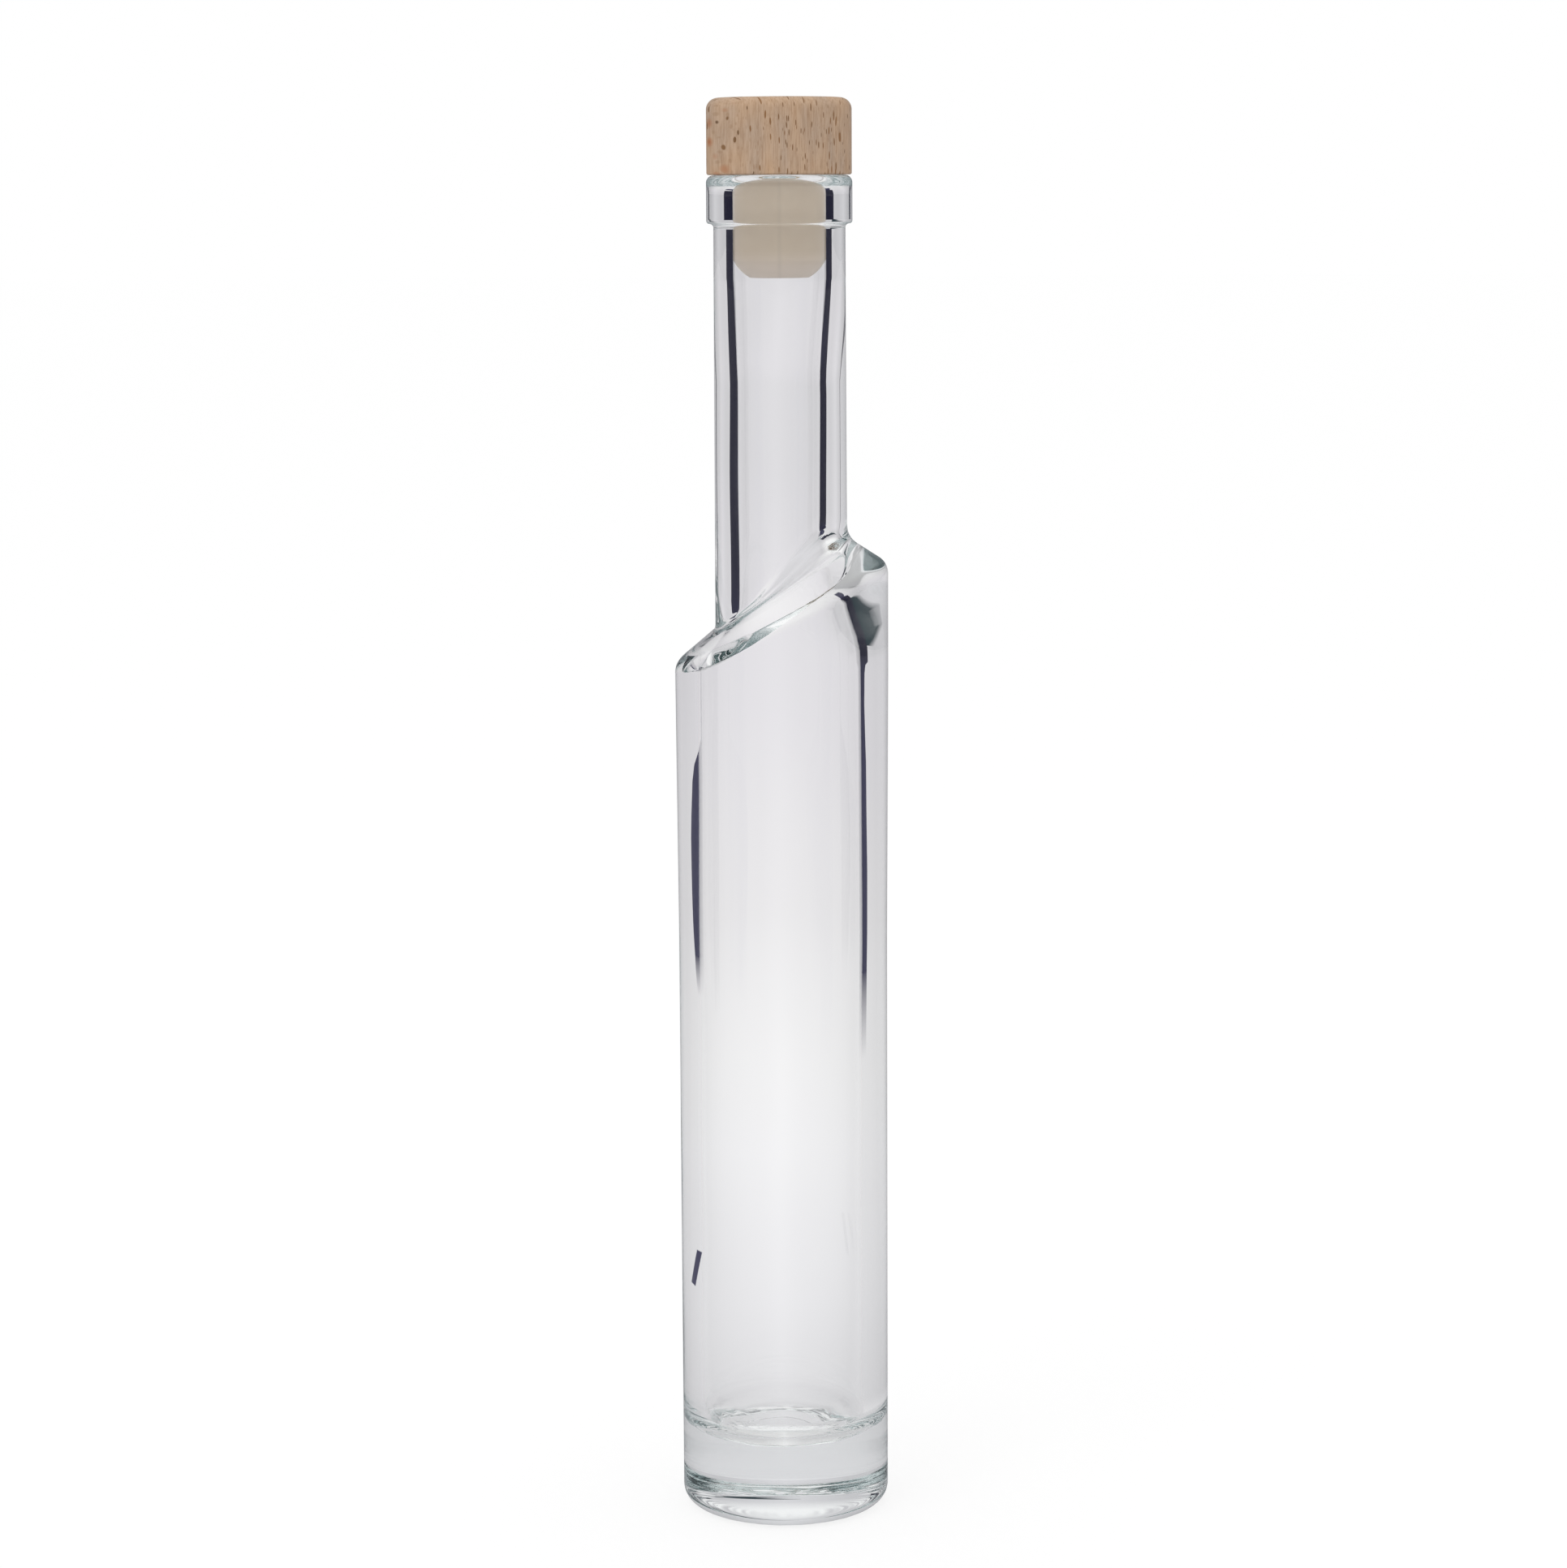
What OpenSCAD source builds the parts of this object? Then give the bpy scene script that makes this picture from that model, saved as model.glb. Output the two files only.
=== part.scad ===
// Slender glass spirits bottle with a slanted shoulder, closed by a bar-top
// stopper: a turned beech head glued to a moulded synthetic cork.
// The bottle stands on z = 0 about the Z axis; its shoulder is high towards +X.

/* [Barrel] */
// Outside diameter of the barrel
barrel_d = 42.2; // [36:0.2:50]
// Growth of the barrel's radius towards the shoulder, where the glass swells
barrel_swell = 0.3; // [0:0.1:0.6]
// Height at which the barrel starts to swell
swell_z = 118; // [60:1:150]
// Radius of the rounded heel
heel_r = 3.5; // [2:0.1:5]
// Height of the push-up in the middle of the underside
punt_h = 1.6; // [0.8:0.1:3]
// Width of the flat ring that the bottle stands on
bearing_w = 3.0; // [2:0.1:5]
// Thickness of the glass wall round the barrel
wall = 4.7; // [3:0.1:6]
// Thickness of the solid glass under the inner floor
floor_t = 15.4; // [8:0.2:20]
// Radius of the inner corner between wall and floor
floor_r = 5.5; // [2:0.1:7]
// Diameter of the shallow dish that the plunger leaves in the inner floor
dish_d = 17; // [10:0.5:20]
// Depth of the dish in the inner floor
dish_h = 0.7; // [0.3:0.1:1.2]

/* [Shoulder] */
// Height of the barrel's upper edge, midway between its low and high sides
edge_z = 182.3; // [170:0.5:200]
// How much higher the edge is on the high side than on the low side
edge_rise = 19.7; // [10:0.1:26]
// Height from the barrel's edge to the foot of the neck, the same all round
shoulder_h = 9.6; // [8:0.1:14]
// Radius of the barrel's upper edge
edge_r = 3.7; // [2:0.1:4]
// Radius of the hollow at the foot of the neck, on the low side
foot_low_r = 2.3; // [1.5:0.1:4]
// Radius of the hollow at the foot of the neck, on the high side
foot_high_r = 4.3; // [2:0.1:4.5]
// Depth from the top of the rounded edge down to the upper edge of the chamber inside
roof_t = 3.4; // [3:0.1:6]
// Height of the slanted roof inside the chamber
roof_h = 9.0; // [7:0.1:12]
// Radius of the chamber's upper edge, which the blown glass leaves nearly sharp
roof_edge_r = 0.4; // [0.3:0.1:5]
// Radius at which the chamber runs into the neck's bore
roof_foot_r = 4.0; // [2:0.1:5]

/* [Neck and mouth] */
// Height of the glass bottle without its stopper
bottle_h = 271; // [255:0.5:290]
// Outside diameter at the foot of the neck
neck_d = 26.5; // [24:0.1:28]
// Outside diameter under the finish ring
neck_top_d = 26.1; // [24:0.1:28]
// Outside diameter of the finish ring round the mouth
finish_d = 28.9; // [28.2:0.1:32]
// Height of the finish ring
finish_h = 9.5; // [7:0.1:12]
// Radius of the finish ring's upper edge
lip_r = 1.8; // [1:0.1:2.5]
// Radius of the finish ring's lower edge
ring_r = 0.6; // [0.3:0.1:1]
// Radius of the hollow under the finish ring, where it meets the neck
ring_foot_r = 0.8; // [0.4:0.1:1.2]
// Bore of the mouth, made to size for the stopper
mouth_d = 18.5; // [17.5:0.1:19]
// Depth of the mouth's sized bore
mouth_depth = 20.4; // [20:0.1:28]
// Radius of the rounded flare that leads into the mouth, inside the lip
lead_in = 2; // [0.5:0.1:2.4]
// Bore of the neck below the mouth
neck_bore_d = 16.2; // [15:0.1:17.4]
// Length over which the mouth's bore narrows to the neck's
taper_l = 20; // [10:0.5:30]

/* [Stopper] */
// Diameter of the wooden head
head_d = 28.7; // [26:0.1:32]
// Height of the wooden head
head_h = 15; // [10:0.5:20]
// Radius of the head's upper edge
head_top_r = 2.3; // [1:0.1:4]
// Radius of the head's lower edge
head_low_r = 0.4; // [0.2:0.1:1]
// Length of the cork below the head
plug_l = 20.1; // [15:0.1:20.5]
// Height of the cork's tapered tip
tip_h = 3.6; // [2:0.1:6]
// Diameter of the cork's flat end
tip_d = 11.7; // [8:0.1:14]
// Radius of the slight bulge on the cork's tapered tip
tip_bulge_r = 8; // [5:0.5:20]
// Diameter of the cork's spigot, glued into the head
spigot_d = 12; // [8:0.1:14]
// Height of the spigot
spigot_h = 6.5; // [3:0.1:8]
// Thickness of the glue round the spigot
glue_t = 0.2; // [0.1:0.05:0.4]

/* [Hidden] */

// Radial clearance of the compressed cork in the mouth
plug_gap = 0.05;
// Gap between the lip and the head that rests on it
seat_gap = 0.05;
// How far one solid runs into the next, and a cut past what it cuts
overrun = 1;
// Angle at which the lofted shoulder crosses the round walls beside it
crossing = 8;
// Points round each ring of the lofted shoulder
loft_sides = 64;
// Steps along each rounded stretch of the lofted shoulder
arc_steps = 6;
$fn = 96;

barrel_r = barrel_d / 2;
edge_wall_r = barrel_r + barrel_swell;
chamber_r = barrel_r - wall;
dish_r = dish_d / 2;
neck_r = neck_d / 2;
neck_top_r = neck_top_d / 2;
finish_r = finish_d / 2;
mouth_r = mouth_d / 2;
neck_bore_r = neck_bore_d / 2;
head_r = head_d / 2;
plug_r = mouth_r - plug_gap;
tip_r = tip_d / 2;
spigot_r = spigot_d / 2;

// Half of the slant, added on the high side and taken off on the low side
slant = edge_rise / 2;
low_edge_z = edge_z - slant;
neck_foot_z = edge_z + shoulder_h + slant + overrun;
finish_z = bottle_h - finish_h;
roof_z = edge_z + edge_r - roof_t;
low_roof_z = roof_z - slant;
bore_foot_z = roof_z + roof_h + slant + overrun;
sized_bore_z = bottle_h - mouth_depth;
tapered_bore_z = sized_bore_z - taper_l;
head_z = bottle_h + seat_gap;
plug_z = head_z - plug_l;

// One radius between its values on the low and the high side
function round_about(low, high, angle) =
    low + (high - low) * (1 + cos(angle)) / 2;

// Slope of the straight line that joins two tangent arcs, whose radii add up
// to radii, across a width and down a drop
function slope_between(radii, width, drop) =
    let (lean = width - radii)
    acos(radii / sqrt(drop * drop + lean * lean)) - atan2(lean, drop);

// Half-section of a shoulder at one angle, as [radius, height]: a rounded edge,
// a straight slope and a hollow foot. Its two ends run on past the walls.
function shoulder_section(out_r, in_r, drop, rounding, hollow) =
    let (
        width = out_r - in_r,
        fit = min(1, min(width, drop) / (rounding + hollow)),
        edge = rounding * fit,
        foot = hollow * fit,
        sweep = 90 - slope_between(edge + foot, width, drop),
        out_run = (overrun + edge * (1 - cos(crossing))) / sin(crossing),
        in_run = (overrun + foot * (1 - cos(crossing))) / sin(crossing),
        turns = [for (i = [0:arc_steps])
            crossing + (sweep - crossing) * i / arc_steps]
    )
    concat(
        [[out_r + overrun, edge * sin(crossing) - out_run * cos(crossing)]],
        [for (turn = turns)
            [out_r - edge + edge * cos(turn), edge * sin(turn)]],
        [for (i = [arc_steps:-1:0])
            [in_r + foot - foot * cos(turns[i]), drop - foot * sin(turns[i])]],
        [[in_r - overrun, drop - foot * sin(crossing) + in_run * cos(crossing)]]
    );

// A block with a slanted shoulder, lofted round the axis: every half-section
// has the same drop, and rides up and down with the cosine of its angle
module slanted_block(out_r, in_r, low_z, base_z, drop, rounding, low_r, high_r) {
    angles = [for (j = [0:loft_sides - 1]) 360 * j / loft_sides];
    sections = [for (a = angles)
        concat(
            [[out_r + overrun, low_z]],
            [for (p = shoulder_section(out_r, in_r, drop, rounding,
                                       round_about(low_r, high_r, a)))
                [p[0], p[1] + base_z + slant * cos(a)]]
        )];
    rings = len(sections[0]);
    top_z = (sections[0][rings - 1][1] + sections[loft_sides / 2][rings - 1][1]) / 2;
    points = concat(
        [for (k = [0:rings - 1])
            for (j = [0:loft_sides - 1])
                let (p = sections[j][k])
                [p[0] * cos(angles[j]), p[0] * sin(angles[j]), p[1]]],
        [[0, 0, low_z], [0, 0, top_z]]
    );
    foot_point = rings * loft_sides;
    top_ring = (rings - 1) * loft_sides;
    faces = concat(
        [for (k = [0:rings - 2])
            for (j = [0:loft_sides - 1])
                let (
                    next = (j + 1) % loft_sides,
                    low = k * loft_sides,
                    high = low + loft_sides
                )
                each [[low + j, high + next, low + next],
                      [low + j, high + j, high + next]]],
        [for (j = [0:loft_sides - 1])
            [foot_point, j, (j + 1) % loft_sides]],
        [for (j = [0:loft_sides - 1])
            [foot_point + 1, top_ring + (j + 1) % loft_sides, top_ring + j]]
    );
    polyhedron(points, faces, convexity = 4);
}

// A round solid about the Z axis, between two heights and radii
module turned(low_z, high_z, low_r, high_r) {
    translate([0, 0, low_z])
        cylinder(h = high_z - low_z, r1 = low_r, r2 = high_r);
}

// Quarter of a disc that rounds an outer corner, upper or lower
module rounded_corner(radius, upper) {
    intersection() {
        circle(r = radius);
        translate([0, upper ? 0 : -radius]) square(radius);
    }
}

// Half-section of a disc with its lower outer edge rounded
module heeled_section(r, h, low) {
    square([r - low, h]);
    translate([0, low]) square([r, h - low]);
    translate([r - low, low]) rounded_corner(low, false);
}

// Half-section of a disc with both outer edges rounded
module rounded_section(r, h, low, high) {
    heeled_section(r, h - high, low);
    translate([0, h - high]) square([r - high, high]);
    translate([r - high, h - high]) rounded_corner(high, true);
}

// The barrel's walls are carried up past the shoulder, which then cuts them
module barrel() {
    intersection() {
        union() {
            rotate_extrude() heeled_section(barrel_r, swell_z, heel_r);
            turned(swell_z, low_edge_z, barrel_r, edge_wall_r);
            turned(low_edge_z, neck_foot_z, edge_wall_r, edge_wall_r);
        }
        slanted_block(edge_wall_r, neck_r, -overrun, edge_z, shoulder_h,
                      edge_r, foot_low_r, foot_high_r);
    }
}

module neck() {
    turned(low_edge_z, finish_z + overrun, neck_r, neck_top_r);
}

// Half-section of the corner that a rounded edge or hollow leaves outside its arc
module corner_section(r, z, radius, outwards, upwards) {
    translate([r, z])
        difference() {
            translate([outwards ? 0 : -radius, upwards ? 0 : -radius]) square(radius);
            circle(r = radius);
        }
}

module finish_ring() {
    translate([0, 0, finish_z])
        rotate_extrude() rounded_section(finish_r, finish_h, ring_r, lip_r);
    ring_foot();
}

// The hollow under the ring, run into the neck and the ring so that it joins them
module ring_foot() {
    rotate_extrude() {
        corner_section(neck_top_r + ring_foot_r, finish_z - ring_foot_r, ring_foot_r, false, true);
        translate([neck_top_r - overrun, finish_z - ring_foot_r])
            square([overrun, ring_foot_r + overrun]);
        translate([neck_top_r - overrun, finish_z])
            square([overrun + ring_foot_r, overrun]);
    }
}

// The push-up is a shallow cap of a ball, inside the bearing ring
module punt() {
    opening_r = barrel_r - heel_r - bearing_w;
    ball_r = (opening_r * opening_r + punt_h * punt_h) / (2 * punt_h);
    translate([0, 0, punt_h - ball_r]) sphere(r = ball_r);
}

module chamber() {
    intersection() {
        translate([0, 0, floor_t]) rotate_extrude()
            heeled_section(chamber_r, bore_foot_z - floor_t, floor_r);
        slanted_block(chamber_r, neck_bore_r, floor_t - overrun, roof_z, roof_h,
                      roof_edge_r, roof_foot_r, roof_foot_r);
    }
    turned(floor_t - dish_h, floor_t + overrun, dish_r - dish_h, dish_r + overrun);
}

module bore() {
    turned(low_roof_z, tapered_bore_z, neck_bore_r, neck_bore_r);
    turned(tapered_bore_z, sized_bore_z, neck_bore_r, mouth_r);
    turned(sized_bore_z, bottle_h + overrun, mouth_r, mouth_r);
    rotate_extrude() mouth_flare();
}

// Half-section of the flare, carried up past the lip
module mouth_flare() {
    corner_section(mouth_r + lead_in, bottle_h - lead_in, lead_in, false, true);
    translate([mouth_r - overrun, bottle_h - lead_in]) square([overrun, lead_in + overrun]);
    translate([mouth_r - overrun, bottle_h]) square([overrun + lead_in, overrun]);
}

module bottle_glass() {
    color([0.86, 0.91, 0.90, 0.45])
    difference() {
        union() {
            barrel();
            neck();
            finish_ring();
        }
        punt();
        chamber();
        bore();
    }
}

module stopper_head() {
    color([0.80, 0.66, 0.50])
    translate([0, 0, head_z])
    difference() {
        rotate_extrude() rounded_section(head_r, head_h, head_low_r, head_top_r);
        turned(-overrun, spigot_h + glue_t, spigot_r + glue_t, spigot_r + glue_t);
    }
}

// Half-section of the cork's tip: the bulge is an arc from its flat end to its side
module tip_section() {
    width = plug_r - tip_r;
    chord = sqrt(width * width + tip_h * tip_h);
    reach = sqrt(tip_bulge_r * tip_bulge_r - chord * chord / 4);
    square([tip_r, tip_h]);
    intersection() {
        square([plug_r, tip_h]);
        translate([(tip_r + plug_r) / 2 - reach * tip_h / chord,
                   tip_h / 2 + reach * width / chord])
            circle(r = tip_bulge_r);
    }
}

module stopper_plug() {
    color([0.85, 0.78, 0.70])
    union() {
        translate([0, 0, plug_z]) rotate_extrude() tip_section();
        turned(plug_z + tip_h, head_z, plug_r, plug_r);
        turned(head_z - overrun, head_z + spigot_h, spigot_r, spigot_r);
    }
}

module stopper_glue() {
    color([0.93, 0.90, 0.80])
    translate([0, 0, head_z])
    difference() {
        turned(0, spigot_h + glue_t, spigot_r + glue_t, spigot_r + glue_t);
        turned(-overrun, spigot_h, spigot_r, spigot_r);
    }
}

bottle_glass();
stopper_head();
stopper_plug();
stopper_glue();
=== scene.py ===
# %% [markdown]
# A slender spirits bottle of flint glass with a slanted shoulder, closed by a
# bar-top stopper: a turned beech head glued to a moulded synthetic cork.
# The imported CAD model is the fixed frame. Each piece made here sits where its
# CAD node sits and rides on the same body, so the stopper still slides out.

# %% Load the frame
import math

import bmesh
import bpy
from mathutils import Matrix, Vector, noise


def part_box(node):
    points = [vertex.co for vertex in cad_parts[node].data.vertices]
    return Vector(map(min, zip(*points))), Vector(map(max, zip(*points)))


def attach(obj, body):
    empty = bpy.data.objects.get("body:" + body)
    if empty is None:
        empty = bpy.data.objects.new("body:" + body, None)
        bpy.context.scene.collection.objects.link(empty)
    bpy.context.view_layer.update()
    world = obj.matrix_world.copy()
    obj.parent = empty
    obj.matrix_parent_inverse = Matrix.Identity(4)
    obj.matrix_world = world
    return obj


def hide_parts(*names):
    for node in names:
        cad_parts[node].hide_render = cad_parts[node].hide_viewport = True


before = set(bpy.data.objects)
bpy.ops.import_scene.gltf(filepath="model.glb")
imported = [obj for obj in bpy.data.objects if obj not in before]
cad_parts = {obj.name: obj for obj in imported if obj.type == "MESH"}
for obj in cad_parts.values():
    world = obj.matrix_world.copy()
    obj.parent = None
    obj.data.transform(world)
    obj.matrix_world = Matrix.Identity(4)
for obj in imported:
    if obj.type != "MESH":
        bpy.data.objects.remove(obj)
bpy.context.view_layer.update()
MM = 0.001

# %% [markdown]
# The photographer's lens is long and looks slightly down, so the rims of the
# bottle show as flat ellipses that open towards the base. The camera comes
# first, because every look is judged through it. The picture leans 0.3 degrees,
# which the camera's roll gives: with the rotation order ZYX the roll turns about
# the lens itself, before the tilt.

# %% Camera
PHOTO_H = 1932
SENSOR = 36.0
FOCAL_PX = 4850
CAMERA_X = 0.24 * MM
CAMERA_AWAY = 786 * MM
CAMERA_H = 267.5 * MM
LOOK_DOWN = 8.54
ROLL = -0.3

camera_data = bpy.data.cameras.new("photo_camera")
camera_data.sensor_fit = "VERTICAL"
camera_data.sensor_height = SENSOR
camera_data.lens = FOCAL_PX * SENSOR / PHOTO_H
camera_data.clip_start = 10 * MM
camera = bpy.data.objects.new("photo_camera", camera_data)
camera.location = (CAMERA_X, -CAMERA_AWAY, CAMERA_H)
camera.rotation_mode = "ZYX"
camera.rotation_euler = (math.radians(90 - LOOK_DOWN), 0, math.radians(ROLL))
bpy.context.scene.collection.objects.link(camera)
bpy.context.scene.camera = camera
print("lens", round(camera_data.lens, 1), "mm")

# %% [markdown]
# Every solid of this object is round, so each is drawn as half an outline and
# turned about the bottle's axis, as a lathe or a glass mould makes it. The
# helpers lay points along straight and round stretches. A straight stretch gets
# an extra ring close to each end: it holds the smooth shading, because a
# normal that leans over a long face would bend all that is seen through glass.

# %% Helpers for outlines
ROUND_STEPS = 256
HOLD = 0.3 * MM
JOIN_GAP = 0.01 * MM
WELD = 0.001 * MM


def arc(x, z, radius, start, end, steps=10):
    """Points along a round stretch about (x, z), angles in degrees."""
    angles = [math.radians(start + (end - start) * i / steps) for i in range(steps + 1)]
    return [(x + radius * math.cos(a), z + radius * math.sin(a)) for a in angles]


def straight(start, end, pitch=3 * MM):
    """Points between two ends of a straight stretch, without the ends."""
    length = math.dist(start, end)
    count = max(1, round(length / pitch))
    shares = [HOLD / length] + [i / count for i in range(1, count)] + [1 - HOLD / length]
    if length < 3 * HOLD:
        shares = [0.5]
    return [(start[0] + (end[0] - start[0]) * s, start[1] + (end[1] - start[1]) * s) for s in shares]


def joined(*stretches):
    """Round stretches with the straight ones between them filled in."""
    points = list(stretches[0])
    for stretch in stretches[1:]:
        if math.dist(points[-1], stretch[0]) > JOIN_GAP:
            points += straight(points[-1], stretch[0]) + stretch
        else:
            points += stretch[1:]
    return points


def spun(profile):
    """Half an outline of (radius, height) turned into a closed mesh, and each vertex's place in it."""
    bm = bmesh.new()
    order = bm.verts.layers.int.new("order")
    verts = [bm.verts.new((point[0], 0, point[1])) for point in profile]
    for i, v in enumerate(verts):
        v[order] = i
    edges = [bm.edges.new(pair) for pair in zip(verts, verts[1:])]
    bmesh.ops.spin(bm, geom=verts + edges, axis=(0, 0, 1), cent=(0, 0, 0),
                   angle=math.tau, steps=ROUND_STEPS, use_merge=True)
    bmesh.ops.remove_doubles(bm, verts=bm.verts, dist=WELD)
    bmesh.ops.recalc_face_normals(bm, faces=bm.faces)
    return bm, order


# %% [markdown]
# A finished piece stands at the origin with its place in its mesh, rides on a
# body, hides the CAD node it stands for, and gets its material.

# %% Helper for pieces
SHARP_FROM = math.radians(40)


def finished(bm, name, body, node, material):
    """Turns a bmesh into a piece that stands for a CAD node."""
    mesh = bpy.data.meshes.new(name)
    bm.to_mesh(mesh)
    bm.free()
    mesh.shade_smooth()
    mesh.set_sharp_from_angle(angle=SHARP_FROM)
    mesh.materials.append(material)
    piece = bpy.data.objects.new(name, mesh)
    bpy.context.scene.collection.objects.link(piece)
    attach(piece, body)
    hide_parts(node)
    triangles = sum(len(p.vertices) - 2 for p in mesh.polygons)
    print(name, triangles, "triangles")


# %% [markdown]
# Colours are written as sRGB hex, as they are read off a screen, and turned to
# the linear values that Blender mixes. One helper adds a node with its settings
# and links; an input named _0 is the node's first, whatever its label.

# %% Helpers for materials
def linear(hex_colour):
    """An sRGB hex colour as linear RGBA."""
    parts = [int(hex_colour[i:i + 2], 16) / 255 for i in (1, 3, 5)]
    return (*[c / 12.92 if c <= 0.04045 else ((c + 0.055) / 1.055) ** 2.4 for c in parts], 1)


def add_node(tree, kind, settings=None, **inputs):
    """Adds a shader node, sets its settings, and sets or links its inputs."""
    node = tree.nodes.new(kind)
    for key, value in (settings or {}).items():
        setattr(node, key, value)
    for key, value in inputs.items():
        socket = node.inputs[int(key[1:]) if key[0] == "_" else key.replace("_", " ")]
        if isinstance(value, bpy.types.NodeSocket):
            tree.links.new(value, socket)
        else:
            socket.default_value = value
    return node


def new_material(name):
    """An empty node material and its tree."""
    material = bpy.data.materials.new(name)
    material.use_nodes = True
    material.node_tree.nodes.clear()
    return material, material.node_tree


# %% [markdown]
# Flint glass is the clear soda-lime glass of spirits bottles, with an index of
# 1.52 and a fire-polished skin as smooth as a mirror. A trace of iron tints it
# green where it is thick, as in the base and the shoulder's rim. The tint is an
# absorption inside the volume, so it grows with the glass crossed.

# %% Flint glass
flint_glass, tree = new_material("flint_glass")
shader = add_node(tree, "ShaderNodeBsdfPrincipled", Base_Color=linear("#ffffff"),
                  Roughness=0.0, IOR=1.52, Transmission_Weight=1.0)
absorb = add_node(tree, "ShaderNodeVolumeAbsorption", Color=linear("#b0c6c6"), Density=3.5)
add_node(tree, "ShaderNodeOutputMaterial", Surface=shader.outputs["BSDF"],
         Volume=absorb.outputs["Volume"])
print(flint_glass.name)

# %% [markdown]
# The outside of the bottle follows the mould: a shallow punt, a bearing ring
# that stands on the table, a rounded heel, a straight barrel, the shoulder and
# the neck with its finish ring. These are the CAD's own sizes, but for the lip,
# which is rounded a little less here.

# %% Sizes of the outside
BOTTLE_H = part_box("bottle_glass")[1].z
EDGE_WALL_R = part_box("bottle_glass")[1].x
BARREL_R = 21.1 * MM
SWELL_Z = 118 * MM
HEEL_R = 3.5 * MM
BEARING_W = 3.0 * MM
PUNT_H = 1.6 * MM
EDGE_Z = 182.3 * MM
SLANT = 9.85 * MM
SHOULDER_H = 9.6 * MM
EDGE_R = 3.7 * MM
FOOT_LOW_R = 2.3 * MM
FOOT_HIGH_R = 4.3 * MM
NECK_R = 13.25 * MM
NECK_TOP_R = 13.05 * MM
FINISH_R = 14.45 * MM
FINISH_Z = BOTTLE_H - 9.5 * MM
LIP_R = 1.5 * MM
RING_R = 0.6 * MM
RING_FOOT_R = 0.8 * MM
print("bottle", round(BOTTLE_H / MM, 1), "mm high")

# %% [markdown]
# The inside is made by the plunger and the air that blows the glass out. Its
# mouth flares as a quarter of an ellipse and is sized for the stopper, the bore
# narrows to the neck, a slanted roof runs parallel to the shoulder, and the
# chamber ends in a rounded corner above a thick floor.

# %% Sizes of the inside
MOUTH_R = 9.25 * MM
FLARE_W = 3.0 * MM
FLARE_H = 3.6 * MM
SIZED_BORE_Z = BOTTLE_H - 20.4 * MM
TAPERED_BORE_Z = SIZED_BORE_Z - 20 * MM
NECK_BORE_R = 8.1 * MM
ROOF_Z = 182.4 * MM
ROOF_H = 9.0 * MM
ROOF_EDGE_R = 0.4 * MM
ROOF_SIDE_EDGE_R = 3.0 * MM
ROOF_FOOT_R = 4.0 * MM
CHAMBER_R = 16.4 * MM
FLOOR_T = 15.4 * MM
FLOOR_R = 5.5 * MM
print("floor", round(FLOOR_T / MM, 1), "mm thick")


# %% [markdown]
# The section of the shoulder is a rounded edge, a straight slope and a hollow
# foot that flows into the neck. The slope's angle is where a line touches both
# rounds. Each point of the outline is kept with the part of the bottle that it
# belongs to, since the parts are shaped further after the turning. The underside
# and the floor get rings close together, for the fine shapes pressed into them.

# %% Outline of the bottle
SLOPE_STEPS = 4
BASE_PITCH = 0.5 * MM
FLOOR_PITCH = 0.3 * MM


def shoulder_section(out_r, in_r, drop, rounding, hollow):
    """A rounded edge, a straight slope and a hollow foot, as (radius, height)."""
    width = out_r - in_r
    fit = min(1, min(width, drop) / (rounding + hollow))
    edge, foot = rounding * fit, hollow * fit
    lean = width - edge - foot
    slope = math.acos((edge + foot) / math.hypot(drop, lean)) - math.atan2(lean, drop)
    sweep = 90 - math.degrees(slope)
    edge_round, foot_round = arc(out_r - edge, 0, edge, 0, sweep), arc(in_r + foot, drop, -foot, sweep, 0)
    pitch = math.dist(edge_round[-1], foot_round[0]) / SLOPE_STEPS
    return edge_round + straight(edge_round[-1], foot_round[0], pitch) + foot_round


def raised(points, height):
    """Points of an outline lifted by a height."""
    return [(r, z + height) for r, z in points]


opening_r = BARREL_R - HEEL_R - BEARING_W
ball_r = (opening_r ** 2 + PUNT_H ** 2) / (2 * PUNT_H)
punt_half = math.degrees(math.asin(opening_r / ball_r))
base = joined(arc(0, PUNT_H - ball_r, ball_r, 90, 90 - punt_half, 16),
              straight((opening_r, 0), (BARREL_R - HEEL_R, 0), BASE_PITCH),
              arc(BARREL_R - HEEL_R, HEEL_R, HEEL_R, -90, 0, 14))
shoulder = raised(shoulder_section(EDGE_WALL_R, NECK_R, SHOULDER_H, EDGE_R, FOOT_HIGH_R), EDGE_Z)
flare = [(MOUTH_R + FLARE_W * (1 + x), BOTTLE_H - FLARE_H * (1 - z)) for x, z in arc(0, 0, 1, 90, 180, 10)]
finish = joined(arc(NECK_TOP_R + RING_FOOT_R, FINISH_Z - RING_FOOT_R, RING_FOOT_R, 180, 90, 6),
                arc(FINISH_R - RING_R, FINISH_Z + RING_R, RING_R, -90, 0, 6),
                arc(FINISH_R - LIP_R, BOTTLE_H - LIP_R, LIP_R, 0, 90), flare)
mouth = straight(finish[-1], (MOUTH_R, SIZED_BORE_Z)) + [(MOUTH_R, SIZED_BORE_Z)]
roof = raised(shoulder_section(CHAMBER_R, NECK_BORE_R, ROOF_H, ROOF_EDGE_R, ROOF_FOOT_R), ROOF_Z)[::-1]
floor_corner = arc(CHAMBER_R - FLOOR_R, FLOOR_T + FLOOR_R, FLOOR_R, 0, -90)
floor_flat = straight(floor_corner[-1], (0, FLOOR_T), FLOOR_PITCH)[:-1] + [(0, FLOOR_T)]

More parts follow.
